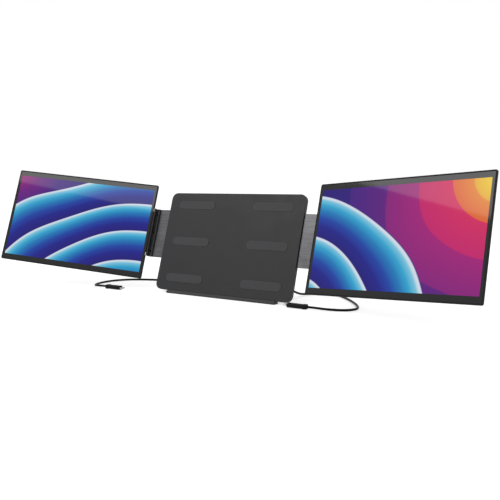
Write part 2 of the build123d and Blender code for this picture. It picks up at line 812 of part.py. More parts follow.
def make_slide_strips():
    """Low-friction strips that the arms run between, in front and behind."""
    middle = housing_width / 2 - side_wall - strip_end_gap - strip_length / 2
    edge = hinge_length / 2 - strip_end_gap - strip_width / 2
    places = [(side * middle, end * edge) for side in (-1, 1) for end in (-1, 1)]
    with BuildPart() as strips:
        for level in (PLATE_BACK - strip_thickness, CAVITY_BACK):
            with BuildSketch(lid_plane(level)):
                with Locations(*places):
                    Rectangle(strip_length, strip_width)
            extrude(amount=strip_thickness)
    write(strips.part, "slide_strips")


def pinion_outline():
    """Involute teeth round the pinion, as points of one closed outline."""
    pitch_radius = gear_module * pinion_teeth / 2
    base = pitch_radius * cos(radians(pressure_angle))
    tip = pitch_radius + tooth_height
    root = pitch_radius - tooth_height - root_gap
    involute = lambda radius: tan(acos(base / radius)) - acos(base / radius)
    half_angle = (pi / 2 / pinion_teeth) - backlash / 2 / pitch_radius + involute(pitch_radius)
    flank = [base + (tip - base) * step / 3 for step in range(4)]
    points = []
    for tooth in range(pinion_teeth):
        middle = 2 * pi * tooth / pinion_teeth
        side = [(root, half_angle)] + [(radius, half_angle - involute(radius)) for radius in flank]
        for radius, angle in side:
            points.append((radius * cos(middle - angle), radius * sin(middle - angle)))
        for radius, angle in reversed(side):
            points.append((radius * cos(middle + angle), radius * sin(middle + angle)))
    return points


def make_pinion():
    with BuildPart() as pinion:
        with BuildSketch(lid_plane(ARM_BACK)):
            with BuildLine():
                Polyline(*pinion_outline(), close=True)
            make_face()
            Circle(axle_radius + pin_clearance, mode=Mode.SUBTRACT)
        extrude(amount=arm_thickness)
    write(pinion.part, "pinion")
    with BuildPart() as axle:
        with BuildSketch(lid_plane(CAVITY_BACK - axle_seat)):
            Circle(axle_radius)
        extrude(amount=cavity_depth + 2 * axle_seat)
    write(axle.part, "pinion_axle")


def make_desk_foot():
    """The rubber foot: flat on the desk, its top against the tilted underside of the housing."""
    front = lid_point(0, housing_bottom, PLATE_FRONT)
    back = lid_point(0, housing_bottom, HOUSING_BACK)
    half = foot_depth / 2
    with BuildPart() as foot:
        with BuildSketch(Plane.YZ.offset(-foot_length / 2)):
            with BuildLine():
                Polyline(
                    (foot_edge - half, 0), (half - foot_edge, 0), (half, foot_edge), (back.Y, back.Z),
                    (front.Y, front.Z), (-half, foot_thickness), (-half, foot_edge), close=True,
                )
            make_face()
        extrude(amount=foot_length)
    write(foot.part, "desk_foot")


# ---------------------------------------------------------------- kickstand
kick_axis_level = HOUSING_BACK - kick_base_thickness - fit_gap - kick_barrel_radius
kick_axis = lid_point(0, kick_hinge_along, kick_axis_level)
kick_offset = kick_thickness / 2 - kick_set_back
kick_reach = kick_hinge_along - housing_bottom - kick_foot_radius - kick_lift
kick_lean = atan2(kick_offset, kick_reach) + acos(
    (kick_axis.Z - kick_foot_radius) / hypot(kick_reach, kick_offset)
)
kick_open = lid_tilt + degrees(kick_lean)


def kick_plane(offset=0.0):
    """The kickstand's own plane through its hinge axis, its y up from the foot to the hinge."""
    turn = radians(kick_open)
    normal = TOWARDS * cos(turn) - ALONG * sin(turn)
    return Plane(origin=kick_axis + normal * offset, x_dir=ACROSS, z_dir=normal)


def kick_screw_points():
    return [
        (side * kick_bracket_spread, kick_hinge_along + end * (kick_bracket_height / 2 - kick_corner))
        for side in (-1, 1) for end in (-1, 1)
    ]


def kick_section(across, x_dir):
    """A plane square to the kickstand's hinge axis."""
    return Plane(origin=kick_axis + ACROSS * across, x_dir=x_dir, z_dir=ACROSS)


def make_kickstand():
    tongue = kick_bracket_width - 2 * kick_ear_width - 2 * fit_gap
    half, narrow = kick_width / 2, kick_low_width / 2
    top, low = -kick_barrel_radius - kick_shoulder, -kick_reach
    plane = kick_plane(-kick_set_back)
    with BuildPart() as stand:
        with BuildSketch(plane):
            with BuildLine():
                FilletPolyline(
                    (-half, top), (half, top), (narrow, low), (-narrow, low),
                    radius=[kick_corner, kick_corner, kick_low_corner, kick_low_corner], close=True,
                )
            make_face()
        extrude(amount=kick_thickness)
        outwards = Axis(stand.part.center(), plane.z_dir)
        chamfer(stand.faces().sort_by(outwards)[0].edges(), kick_edge)
        with BuildSketch(plane):
            with Locations(*[(side * kick_bracket_spread, top / 2) for side in (-1, 1)]):
                Rectangle(tongue, -top)
        extrude(amount=kick_thickness)
        for side in (-1, 1):
            with BuildSketch(kick_section(side * kick_bracket_spread - tongue / 2, ALONG)):
                Circle(kick_barrel_radius)
            extrude(amount=tongue)
        for side in (-1, 1):
            with BuildSketch(kick_section(side * kick_bracket_spread - tongue / 2, ALONG)):
                Circle(kick_pin_radius + pin_clearance)
            extrude(amount=tongue, mode=Mode.SUBTRACT)
    write(stand.part, "kickstand")


def make_kick_foot():
    """The rubber cap on the kickstand's lower edge."""
    middle = kick_plane(kick_offset).origin - kick_plane().y_dir * kick_reach
    with BuildPart() as cap:
        start = middle - ACROSS * kick_foot_length / 2
        with BuildSketch(Plane(origin=start, x_dir=kick_plane().z_dir, z_dir=ACROSS)):
            Circle(kick_foot_radius)
            with Locations((0, -kick_foot_radius)):
                Rectangle(kick_thickness, 2 * kick_foot_radius, mode=Mode.SUBTRACT)
        extrude(amount=kick_foot_length)
    write(cap.part, "kickstand_foot")


def make_kick_brackets():
    height = kick_base_thickness + fit_gap + kick_barrel_radius
    with BuildPart() as brackets:
        with BuildSketch(housing_plane(HOUSING_BACK)):
            with Locations(*[(side * kick_bracket_spread, kick_hinge_along) for side in (-1, 1)]):
                RectangleRounded(kick_bracket_width, kick_bracket_height, kick_corner)
        extrude(amount=-kick_base_thickness)
        starts = [
            side * kick_bracket_spread + end for side in (-1, 1)
            for end in (-kick_bracket_width / 2, kick_bracket_width / 2 - kick_ear_width)
        ]
        for start in starts:
            with BuildSketch(kick_section(start, TOWARDS)):
                Circle(kick_barrel_radius)
                with Locations((height / 2 - seat_gap, 0)):
                    Rectangle(height - 2 * seat_gap, 2 * kick_barrel_radius)
                Circle(kick_pin_radius + press_clearance, mode=Mode.SUBTRACT)
            extrude(amount=kick_ear_width)
        with BuildSketch(housing_plane(HOUSING_BACK)):
            with Locations(*kick_screw_points()):
                Circle(kick_screw_radius + seat_gap)
        extrude(amount=-kick_base_thickness, mode=Mode.SUBTRACT)
    write(brackets.part, "kickstand_brackets")
    with BuildPart() as pins:
        for side in (-1, 1):
            with BuildSketch(kick_section(side * kick_bracket_spread - kick_bracket_width / 2, TOWARDS)):
                Circle(kick_pin_radius)
            extrude(amount=kick_bracket_width)
    write(pins.part, "kickstand_pins")
    with BuildPart() as screws:
        with BuildSketch(housing_plane(HOUSING_BACK - kick_base_thickness)):
            with Locations(*kick_screw_points()):
                Circle(kick_screw_head)
        extrude(amount=-kick_screw_head_height)
        with BuildSketch(housing_plane(HOUSING_BACK - kick_base_thickness)):
            with Locations(*kick_screw_points()):
                Circle(kick_screw_radius - press_clearance)
        extrude(amount=kick_base_thickness + rear_wall)
    write(screws.part, "kickstand_screws")


# ---------------------------------------------------------------- ports and cables
shell_width = tongue_width + 2 * (port_clearance + port_shell_wall)
shell_height = tongue_height + 2 * (port_clearance + port_shell_wall)


def make_ports():
    shell_front = PLATE_BACK - port_board_thickness
    with BuildPart() as boards:
        with BuildSketch(housing_plane(shell_front)):
            with Locations(*[(side * port_across, port_along) for side in (-1, 1)]):
                Rectangle(port_board_width, port_board_height)
        extrude(amount=port_board_thickness)
    write(boards.part, "port_boards")
    with BuildPart() as shells:
        with BuildSketch(housing_plane(shell_front)):
            with Locations(*[(side * port_across, port_along) for side in (-1, 1)]):
                SlotOverall(shell_width, shell_height)
        extrude(amount=-port_depth)
        with BuildSketch(housing_plane(shell_front - shell_inset)):
            with Locations(*[(side * port_across, port_along) for side in (-1, 1)]):
                SlotOverall(tongue_width + 2 * port_clearance, tongue_height + 2 * port_clearance)
        extrude(amount=-port_depth, mode=Mode.SUBTRACT)
    write(shells.part, "port_shells")


def make_device_plug(side):
    """The plug in the housing's port, with its strain relief, pointing out of the back."""
    face = HOUSING_BACK - fit_gap
    name = WORD[side]
    with BuildPart() as plug:
        with BuildSketch(port_plane(side, face)):
            RectangleRounded(plug_width, plug_height, plug_corner)
        extrude(amount=-device_plug_length)
        with BuildSketch(port_plane(side, face - device_plug_length)):
            Circle(plug_height / 2 - plug_step / 2)
        with BuildSketch(port_plane(side, face - device_plug_length - relief_length)):
            Circle(cable_diameter / 2 + relief_wall)
        loft()
    write(plug.part, f"{name}_device_plug")
    with BuildPart() as tongue:
        with BuildSketch(port_plane(side, face)):
            SlotOverall(tongue_width, tongue_height)
            SlotOverall(tongue_width - 2 * tongue_wall, tongue_height - 2 * tongue_wall, mode=Mode.SUBTRACT)
        extrude(amount=port_depth - tongue_end_gap)
    write(tongue.part, f"{name}_device_tongue")


def cable_start(side):
    relief_end = HOUSING_BACK - fit_gap - device_plug_length - relief_length
    return lid_point(side * port_across, port_along, relief_end)


LAPTOP_PLUG_END = {
    -1: (-left_plug_reach, -left_plug_forward),
    1: (right_plug_reach, -right_plug_forward),
}
plug_rest = (plug_height + plug_step) / 2 + fit_gap / 3


def make_laptop_plug(side):
    """The plug that goes into the laptop, lying on the desk and pointing at the laptop's side."""
    across, back = LAPTOP_PLUG_END[side]
    inwards = Vector(-side, 0, 0)
    name = WORD[side]

    def section(distance):
        origin = Vector(across, back, plug_rest) + inwards * distance
        return Plane(origin=origin, x_dir=(0, 1, 0), z_dir=inwards)

    with BuildPart() as plug:
        with BuildSketch(section(0)):
            Circle(cable_diameter / 2 + relief_wall)
        with BuildSketch(section(laptop_relief_length)):
            Circle(plug_height / 2 - plug_step / 2)
        loft()
        with BuildSketch(section(laptop_relief_length)):
            RectangleRounded(plug_width, plug_height + plug_step, plug_corner)
        extrude(amount=collar_length)
        with BuildSketch(section(laptop_relief_length + collar_length)):
            RectangleRounded(plug_width - plug_step, plug_height, plug_corner)
        extrude(amount=laptop_plug_length)
    write(plug.part, f"{name}_laptop_plug")
    with BuildPart() as tongue:
        with BuildSketch(section(laptop_relief_length + collar_length + laptop_plug_length)):
            SlotOverall(tongue_width, tongue_height)
            SlotOverall(tongue_width - 2 * tongue_wall, tongue_height - 2 * tongue_wall, mode=Mode.SUBTRACT)
        extrude(amount=tongue_length)
    write(tongue.part, f"{name}_laptop_tongue")


lying = cable_diameter / 2 + 0.05
straight_out = 24.0
CABLE_ROUTE = {
    1: [
        (117.0, 88.0, 4.2), (125.0, 110.0, lying), (142.0, 127.0, lying), (168.0, 130.0, lying),
        (193.0, 111.0, lying), (219.0, 85.0, lying), (243.0, 55.0, lying), (258.0, 27.0, lying),
        (250.0, 7.0, lying), (232.0, -2.0, lying), (214.0, -9.0, 3.0), (199.0, -12.0, plug_rest),
    ],
    -1: [
        (-119.0, 87.0, 4.4), (-136.0, 104.0, lying), (-170.0, 109.0, lying), (-214.0, 103.0, lying),
        (-256.0, 90.0, lying), (-288.0, 71.0, lying), (-304.0, 44.0, lying), (-307.0, 17.0, lying),
        (-302.0, -7.0, lying), (-288.0, -24.0, 3.0), (-270.0, -26.0, plug_rest),
    ],
}


def route_radii(points):
    """Each arc is as large as its two runs allow."""
    radii = []
    for before, at, after in zip(points, points[1:], points[2:]):
        turn = radians((at - before).get_angle(after - at))
        shorter = min((at - before).length, (after - at).length)
        radii.append(0.45 * shorter / tan(turn / 2))
    return radii


def make_cable(side):
    across, back = LAPTOP_PLUG_END[side]
    start = cable_start(side)
    points = [start, start - TOWARDS * straight_out]
    points += [Vector(*point) for point in CABLE_ROUTE[side]] + [Vector(across, back, plug_rest)]
    radii = route_radii(points)
    with BuildPart() as cable:
        with BuildLine() as route:
            FilletPolyline(*points, radius=radii)
        with BuildSketch(Plane(origin=route.wire() @ 0, z_dir=route.wire() % 0)):
            Circle(cable_diameter / 2)
        sweep()
    write(cable.part, f"{WORD[side]}_cable")
    length = route.wire().length
    volume = pi * (cable_diameter / 2) ** 2 * length
    print(WORD[side], "cable length", round(length, 1), "volume ratio", round(cable.part.volume / volume, 4))
    print("  radii", [round(radius) for radius in radii])
    print("  runs", [round((b - a).length) for a, b in zip(points, points[1:])])


# ---------------------------------------------------------------- the whole
for SIDE in (-1, 1):
    make_frame(SIDE)
    make_bezel(SIDE)
    make_panel(SIDE)
    make_backlight(SIDE)
    make_board(SIDE)
    make_rear_cover(SIDE)
    make_buttons(SIDE)
    make_cover_screws(SIDE)
    make_leaf(SIDE)
    make_arm(SIDE)
    make_post(SIDE)
    make_pin(SIDE)
    make_device_plug(SIDE)
    make_laptop_plug(SIDE)
    make_cable(SIDE)
make_cushion()
make_housing_front()
make_housing_back()
make_housing_screws()
make_slide_strips()
make_pinion()
make_desk_foot()
make_kickstand()
make_kick_foot()
make_kick_brackets()
make_ports()
print("kickstand opens", round(kick_open, 3), "hinge", [round(x, 3) for x in kick_axis])
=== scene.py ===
import json
from math import cos, pi, radians, sin

import bmesh
import bpy
from mathutils import Matrix, Vector


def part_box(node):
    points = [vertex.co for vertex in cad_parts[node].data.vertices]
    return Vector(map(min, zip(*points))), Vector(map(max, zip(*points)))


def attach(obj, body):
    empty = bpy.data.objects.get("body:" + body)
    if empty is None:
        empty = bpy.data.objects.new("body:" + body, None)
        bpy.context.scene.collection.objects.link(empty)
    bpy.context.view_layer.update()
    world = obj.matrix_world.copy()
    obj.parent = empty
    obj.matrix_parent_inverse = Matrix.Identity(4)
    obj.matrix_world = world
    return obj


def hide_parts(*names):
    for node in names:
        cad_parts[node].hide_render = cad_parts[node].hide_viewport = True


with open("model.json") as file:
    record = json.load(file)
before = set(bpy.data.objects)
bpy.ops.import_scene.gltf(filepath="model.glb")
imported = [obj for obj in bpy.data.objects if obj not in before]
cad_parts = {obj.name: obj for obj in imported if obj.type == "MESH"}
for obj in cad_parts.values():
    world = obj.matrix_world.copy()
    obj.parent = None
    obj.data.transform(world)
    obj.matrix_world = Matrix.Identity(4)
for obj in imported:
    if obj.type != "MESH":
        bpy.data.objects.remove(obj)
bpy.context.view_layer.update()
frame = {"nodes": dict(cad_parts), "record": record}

# Finishes, cables, plugs, screws, screens, lamps and camera for a laptop screen extender.
# Lengths are in metres and angles in radians, unless a comment says otherwise. +Z is up, and the
# viewer is at -Y.
MM = 0.001
SIDES = {"left": -1, "right": 1}

# ---------------------------------------------------------------- sizes shared with the solids
lid_tilt = radians(18.5)
display_turn = {"left": radians(19.8), "right": radians(13.0)}
screen_height = 165.2 * MM
cable_diameter = 4.0 * MM
plug_width = 12.2 * MM
plug_height = 7.2 * MM
plug_step = 0.8 * MM
collar_length = 7.0 * MM
laptop_relief = 2.5 * MM
laptop_plug_length = 29.0 * MM
device_plug_length = 22.0 * MM
device_relief = 9.0 * MM

# ---------------------------------------------------------------- directions
ACROSS = Vector((1, 0, 0))
ALONG = Vector((0, sin(lid_tilt), cos(lid_tilt)))
TOWARDS = Vector((0, -cos(lid_tilt), sin(lid_tilt)))


def display_directions(side):
    """To the viewer's right along a display's face, and out of the face."""
    turn = display_turn[side] * SIDES[side]
    right = ACROSS * cos(turn) + TOWARDS * sin(turn)
    out = TOWARDS * cos(turn) - ACROSS * sin(turn)
    return right, out


def box_middle(node):
    low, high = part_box(node)
    return (Vector(low) + Vector(high)) / 2


# ---------------------------------------------------------------- material steps
def new_material(name):
    material = bpy.data.materials.new(name)
    material.use_nodes = True
    material.node_tree.nodes.clear()
    return material


def add_node(tree, kind, inputs=None, **settings):
    """Adds a node. An input is a value, or another node's output."""
    node = tree.nodes.new(kind)
    for name, value in settings.items():
        setattr(node, name, value)
    for key, value in (inputs or {}).items():
        if isinstance(value, bpy.types.NodeSocket):
            tree.links.new(value, node.inputs[key])
        else:
            node.inputs[key].default_value = value
    return node


def step(tree, kind, inputs=None, **settings):
    """Adds a shader node."""
    return add_node(tree, "ShaderNode" + kind, inputs, **settings)


def maths(tree, operation, *values):
    """Adds a sum. The values are numbers, or other nodes' outputs."""
    return step(tree, "Math", dict(enumerate(values)), operation=operation).outputs[0]


def blend_colours(tree, share, first, second):
    """Mixes two colours. The mix node has its colours at inputs 6 and 7, and the mix at output 2."""
    return step(tree, "Mix", {0: share, 6: first, 7: second}, data_type="RGBA").outputs[2]


def ramp(tree, share, stops):
    """A colour that runs straight from stop to stop, each a place from 0 to 1 and its colour."""
    node = step(tree, "ValToRGB", {0: share})
    elements = node.color_ramp.elements
    while len(elements) > 1:
        elements.remove(elements[-1])
    elements[0].position, elements[0].color = stops[0]
    for place, colour in stops[1:]:
        elements.new(place).color = colour
    return node.outputs[0]


def scaled_noise(tree, size, detail, stretch=(1, 1, 1)):
    """Noise whose blotches are about this many metres across, in the object's own coordinates."""
    place = step(tree, "TexCoord").outputs["Object"]
    mapping = step(tree, "Mapping", {0: place, "Scale": [s / size for s in stretch]})
    return step(tree, "TexNoise", {
        "Vector": mapping.outputs[0], "Scale": 1.0, "Detail": detail}).outputs[0]


def spread(tree, noise, low, high):
    """Turns a noise, which mostly stays within its usual levels, into a value from low to high."""
    usual_low, usual_high = 0.3, 0.7
    return step(tree, "MapRange", {0: noise, 1: usual_low, 2: usual_high, 3: low, 4: high}).outputs[0]


def edge_share(tree, radius):
    """1 along edges and corners, 0 on open faces: where a rounded surface would face another way."""
    open_face, full_edge = 0.995, 0.8
    rounded = step(tree, "Bevel", {"Radius": radius}, samples=4).outputs[0]
    flat = step(tree, "NewGeometry").outputs["Normal"]
    facing = step(tree, "VectorMath", {0: rounded, 1: flat}, operation="DOT_PRODUCT").outputs["Value"]
    levels = {0: facing, 1: open_face, 2: full_edge, 3: 0.0, 4: 1.0}
    return step(tree, "MapRange", levels).outputs[0]


def grey(level):
    return (level, level, level, 1.0)


def tint(colour, factor):
    return tuple(min(1.0, c * factor) for c in colour[:3]) + (1.0,)


patch_size = 30 * MM
patch_detail, grain_detail = 3.0, 2.0
gloss_from_patches, gloss_from_grains = 0.6, 0.4
# How much paler an edge gets where it is lightened: partly rubbed wear, partly a painted edge
# highlight.
wear_and_highlight_lightening = 3.0
worn_polish = 0.4
relief_strength = 0.5


def finish_material(name, colour, roughness, grain=0.0003, depth=0.00002, mottle=0.12, speckle=0.1,
                    metal=0.0, stretch=(1, 1, 1), wear_and_highlight=0.0, wear_and_highlight_radius=0.0005, **sockets):
    """A solid finish: mottled colour, uneven gloss, a fine grain in relief and lighter edges, partly
    rubbed wear and partly a painted highlight.

    roughness is its lowest and highest value. grain and depth are the grain's size and height in
    metres. mottle and speckle say how much the colour varies in patches and from grain to grain.
    The two edge settings say how much lighter an edge is, partly as rubbed wear and partly as a painted
    highlight, and how wide, in metres.
    """
    material = new_material(name)
    tree = material.node_tree
    patches = scaled_noise(tree, patch_size, patch_detail)
    grains = scaled_noise(tree, grain, grain_detail, stretch)
    broad = spread(tree, patches, 1 - mottle, 1 + mottle)
    shade = maths(tree, "MULTIPLY", broad, spread(tree, grains, 1 - speckle, 1 + speckle))
    shaded = step(tree, "VectorMath", {0: colour[:3], "Scale": shade}, operation="SCALE").outputs[0]
    low, high = roughness
    uneven = maths(tree, "ADD", maths(tree, "MULTIPLY", patches, gloss_from_patches),
                   maths(tree, "MULTIPLY", grains, gloss_from_grains))
    gloss = spread(tree, uneven, low, high)
    # Edges are lightened towards a paler copy of the colour: partly rubbed wear, partly a painted
    # highlight where edges would catch light.
    if wear_and_highlight:
        wear_and_highlight_share = maths(tree, "MULTIPLY", edge_share(tree, wear_and_highlight_radius), wear_and_highlight)
        shaded = blend_colours(tree, wear_and_highlight_share, shaded, tint(colour, wear_and_highlight_lightening))
        polish = maths(tree, "MULTIPLY", wear_and_highlight_share, worn_polish)
        gloss = maths(tree, "MULTIPLY", gloss, maths(tree, "SUBTRACT", 1.0, polish))
    relief = step(tree, "Bump", {"Strength": relief_strength, "Distance": depth, "Height": grains})
    inputs = {
        "Base Color": shaded, "Roughness": gloss, "Metallic": metal, "Normal": relief.outputs[0]}
    surface = step(tree, "BsdfPrincipled", {**inputs, **sockets})
    step(tree, "OutputMaterial", {"Surface": surface.outputs[0]})
    return material


# ---------------------------------------------------------------- finishes
# Each finish's edge setting lightens its edges: partly rubbed wear, partly a painted edge highlight.
shell_black = finish_material(
    "shell_black", (0.009, 0.009, 0.0097, 1), (0.45, 0.62), grain=0.0008, depth=0.00006, speckle=0.18,
    wear_and_highlight=0.15, wear_and_highlight_radius=0.0005, **{"Specular IOR Level": 0.14})
cover_black = finish_material(
    "cover_black", (0.0135, 0.0135, 0.0144, 1), (0.4, 0.56), grain=0.0009, depth=0.00009, speckle=0.2,
    wear_and_highlight=0.3, wear_and_highlight_radius=0.0008, **{"Specular IOR Level": 0.24})
housing_black = finish_material(
    "housing_black", (0.015, 0.015, 0.0162, 1), (0.42, 0.6), grain=0.0011, depth=0.0001, speckle=0.28,
    wear_and_highlight=0.4, wear_and_highlight_radius=0.0009, **{"Specular IOR Level": 0.32})
bezel_gloss = finish_material(
    "bezel_gloss", (0.0035, 0.0035, 0.004, 1), (0.04, 0.1), grain=0.004, depth=0.000003, mottle=0.05,
    **{"Specular IOR Level": 0.36})
hinge_black = finish_material(
    "hinge_black", (0.032, 0.032, 0.034, 1), (0.26, 0.42), grain=0.0006, depth=0.00003, speckle=0.25,
    metal=0.4, wear_and_highlight=0.7)
button_black = finish_material(
    "button_black", (0.035, 0.035, 0.038, 1), (0.3, 0.45), grain=0.0004, depth=0.00003, speckle=0.2,
    wear_and_highlight=0.6)
screw_black = finish_material(
    "screw_black", (0.032, 0.032, 0.033, 1), (0.22, 0.38), grain=0.0004, speckle=0.2, metal=0.9,
    wear_and_highlight=0.9, wear_and_highlight_radius=0.0002)
arm_anodised = finish_material(
    "arm_anodised", (0.1, 0.1, 0.105, 1), (0.26, 0.44), grain=0.0005, depth=0.00002, speckle=0.3,
    metal=1.0, stretch=(0.02, 1, 1), wear_and_highlight=0.6)
pin_steel = finish_material(
    "pin_steel", (0.6, 0.6, 0.6, 1), (0.18, 0.32), grain=0.0004, depth=0.000003, metal=1.0)
tray_aluminium = finish_material("tray_aluminium", (0.62, 0.62, 0.62, 1), (0.3, 0.4), metal=1.0)
washer_bronze = finish_material("washer_bronze", (0.3, 0.24, 0.16, 1), (0.3, 0.45), metal=1.0)
tongue_nickel = finish_material(
    "tongue_nickel", (0.5, 0.5, 0.49, 1), (0.16, 0.28), grain=0.0006, depth=0.000002, metal=1.0)
plug_black = finish_material(
    "plug_black", (0.004, 0.004, 0.0042, 1), (0.42, 0.6), grain=0.0005, depth=0.00004, speckle=0.3,
    **{"Specular IOR Level": 0.12})
cable_rubber = finish_material(
    "cable_rubber", (0.0022, 0.0022, 0.0023, 1), (0.36, 0.48), grain=0.0004, speckle=0.3,
    **{"Specular IOR Level": 0.08})
pad_rubber = finish_material(
    "pad_rubber", (0.036, 0.036, 0.038, 1), (0.7, 0.85), grain=0.001, depth=0.00012, speckle=0.25,
    wear_and_highlight=0.3, wear_and_highlight_radius=0.0008)
strip_white = finish_material("strip_white", (0.8, 0.79, 0.75, 1), (0.35, 0.5), mottle=0.04)
circuit_board = finish_material("circuit_board", (0.02, 0.12, 0.06, 1), (0.3, 0.5))
kickstand_black = finish_material(
    "kickstand_black", (0.034, 0.034, 0.036, 1), (0.36, 0.52), grain=0.0011, depth=0.00012,
    speckle=0.22, wear_and_highlight=0.6, wear_and_highlight_radius=0.0008)


# ---------------------------------------------------------------- lit screens
def srgb(code):
    """A linear colour from its usual six-figure code."""
    parts = [int(code[i:i + 2], 16) / 255 for i in (0, 2, 4)]
    return tuple(p / 12.92 if p <= 0.04045 else ((p + 0.055) / 1.055) ** 2.4 for p in parts) + (1.0,)


def lit_screen(side, picture):
    """A glossy panel, black when off, with a picture drawn from distances on its own face.

    The picture's places are in screen heights from the middle of the panel.
    """
    right, out = display_directions(side)
    middle = box_middle(f"{side}_lcd_panel")
    material = new_material(f"{side}_lit_screen")
    tree = material.node_tree
    place = step(tree, "TexCoord").outputs["Object"]
    turned = Matrix((right, ALONG, out)).transposed().to_euler()
    on_face = step(
        tree, "Mapping",
        {0: place, "Location": middle, "Rotation": turned, "Scale": [screen_height] * 3},
        vector_type="TEXTURE").outputs[0]
    colour = picture(tree, on_face)
    surface = step(tree, "BsdfPrincipled", {
        "Base Color": grey(0.002), "Roughness": 0.04, "IOR": 1.28,
        "Emission Color": colour, "Emission Strength": 1.0})
    step(tree, "OutputMaterial", {"Surface": surface.outputs[0]})
    return material


def folded(tree, place, amount, size):
    """Pushes the place about by slow waves, so that rings run like folded cloth."""
    average = (0.5, 0.5, 0.5)
    waves = step(tree, "TexNoise", {"Vector": place, "Scale": 1 / size, "Detail": 0.0}).outputs["Color"]
    both_ways = step(tree, "VectorMath", {0: waves, 1: average}, operation="SUBTRACT").outputs[0]
    pushed = step(tree, "VectorMath", {0: both_ways, "Scale": amount}, operation="SCALE")
    return step(tree, "VectorMath", {0: place, 1: pushed.outputs[0]}, operation="ADD").outputs[0]


def distance_from(tree, place, point, squash=1.0):
    """How far a place lies from a point on the face. squash flattens the rings of equal distance."""
    flat = step(tree, "VectorMath", {0: place, 1: (1.0, squash, 0.0)}, operation="MULTIPLY").outputs[0]
    centre = (point[0], point[1] * squash, 0.0)
    return step(tree, "VectorMath", {0: flat, 1: centre}, operation="DISTANCE").outputs["Value"]


# Colours as (place, six-figure code): a ribbon from its foot at 0 to its pale crest just before 1,
# the glow from its middle outwards, and the discs from the sun outwards.
RIBBON = [
    (0.0, "1a1070"), (0.26, "181c84"), (0.46, "17409e"), (0.64, "1a74b2"), (0.79, "2f9fc8"),
    (0.9, "74bcd6"), (0.955, "d0d9e4"), (0.98, "ccd3e0"), (1.0, "201678"),
]
GLOW = [(0.0, "bc2068"), (0.16, "9c1c74"), (0.34, "6c1a7a"), (0.55, "40187c"), (1.0, "1a1070")]
DISCS = [
    (0.0, "e6cc34"), (0.1, "e0aa34"), (0.103, "de8636"), (0.2, "d66236"), (0.203, "cc2a5e"),
    (0.36, "bc2068"), (0.363, "9c1c74"), (0.53, "801a76"), (0.533, "5a1878"), (0.72, "40187c"),
    (0.723, "2c1474"), (1.0, "1a1070"),
]
ribbon_spacing = 0.46
ribbon_edge = 0.012
disc_reach = 2.0


def coloured(stops):
    return [(place, srgb(code)) for place, code in stops]


def ribbons(tree, place, centre, squash, count):
    """Round bands with a pale crest and a crisp edge, and a mask of the first few about the centre."""
    bands_out = maths(tree, "DIVIDE", distance_from(tree, place, centre, squash), ribbon_spacing)
    colour = ramp(tree, maths(tree, "FRACT", bands_out), coloured(RIBBON))
    levels = {0: bands_out, 1: count + ribbon_edge, 2: count, 3: 0.0, 4: 1.0}
    return colour, step(tree, "MapRange", levels).outputs[0]


def left_picture(tree, place):
    """Six ribbons that rise from below, with a rose glow in the upper left corner."""
    soft = folded(tree, place, amount=0.35, size=1.3)
    bands, where = ribbons(tree, soft, centre=(1.0, -1.5), squash=1.25, count=6)
    glow = ramp(tree, distance_from(tree, soft, (-0.95, 0.62)), coloured(GLOW))
    return blend_colours(tree, where, glow, bands)


def right_picture(tree, place):
    """Four ribbons in the lower left corner, and warm discs about the upper right one."""
    soft = folded(tree, place, amount=0.3, size=1.2)
    bands, where = ribbons(tree, soft, centre=(-1.25, -1.2), squash=1.1, count=4)
    from_sun = maths(tree, "DIVIDE", distance_from(tree, soft, (0.9, 0.5)), disc_reach)
    discs = ramp(tree, from_sun, coloured(DISCS))
    return blend_colours(tree, where, discs, bands)


screens = {"left": lit_screen("left", left_picture), "right": lit_screen("right", right_picture)}

# ---------------------------------------------------------------- finishes on the solids
BY_SLOT = {
    "shell_black": shell_black, "housing_black": housing_black, "bezel_gloss": bezel_gloss,
    "hinge_black": hinge_black, "button_black": button_black, "screw_black": screw_black,
    "arm_anodised": arm_anodised, "pin_steel": pin_steel, "tray_aluminium": tray_aluminium,
    "washer_bronze": washer_bronze, "tongue_nickel": tongue_nickel, "plug_black": plug_black,
    "cable_rubber": cable_rubber, "pad_rubber": pad_rubber, "strip_white": strip_white,
    "circuit_board": circuit_board, "kickstand_black": kickstand_black,
}


def dress_solids():
    """Gives every solid its slot's finish. The panels are lit, and the rear covers have their own."""
    for part in frame["record"]["subparts"]:
        node, slot = part["node"], part["material_slot"]
        if node.endswith("_lcd_panel"):
            material = screens[node.split("_")[0]]
        elif node.endswith("_rear_cover"):
            material = cover_black
        else:
            material = BY_SLOT[slot]
        mesh = frame["nodes"][node].data
        mesh.materials.clear()
        mesh.materials.append(material)


dress_solids()

# ---------------------------------------------------------------- cables
# Heights of a centre line in millimetres: of a cable on the desk, and of a plug on it.
lying = cable_diameter / MM / 2 + 0.05
plug_rest = 4.1
# The points that steer each cable, in millimetres, from its port to its plug.
CABLE_ROUTE = {
    "right": [
        (115.0, 43.1, 20.6), (115.0, 65.9, 13.0),
        (117.0, 88.0, 4.2), (125.0, 110.0, lying), (142.0, 127.0, lying), (168.0, 130.0, lying),
        (193.0, 111.0, lying), (219.0, 85.0, lying), (243.0, 55.0, lying), (258.0, 27.0, lying),
        (250.0, 7.0, lying), (232.0, -2.0, lying), (214.0, -9.0, 3.0), (199.0, -12.0, plug_rest),
        (186.0, -12.0, plug_rest),
    ],
    "left": [
        (-115.0, 43.1, 20.6), (-115.0, 65.9, 13.0),
        (-119.0, 87.0, 4.4), (-136.0, 104.0, lying), (-170.0, 109.0, lying), (-214.0, 103.0, lying),
        (-256.0, 90.0, lying), (-288.0, 71.0, lying), (-304.0, 44.0, lying), (-307.0, 17.0, lying),
        (-302.0, -7.0, lying), (-288.0, -24.0, 3.0), (-270.0, -26.0, plug_rest),
        (-255.0, -26.0, plug_rest),
    ],
}


def cable_points(side):
    return [Vector(point) * MM for point in CABLE_ROUTE[side]]


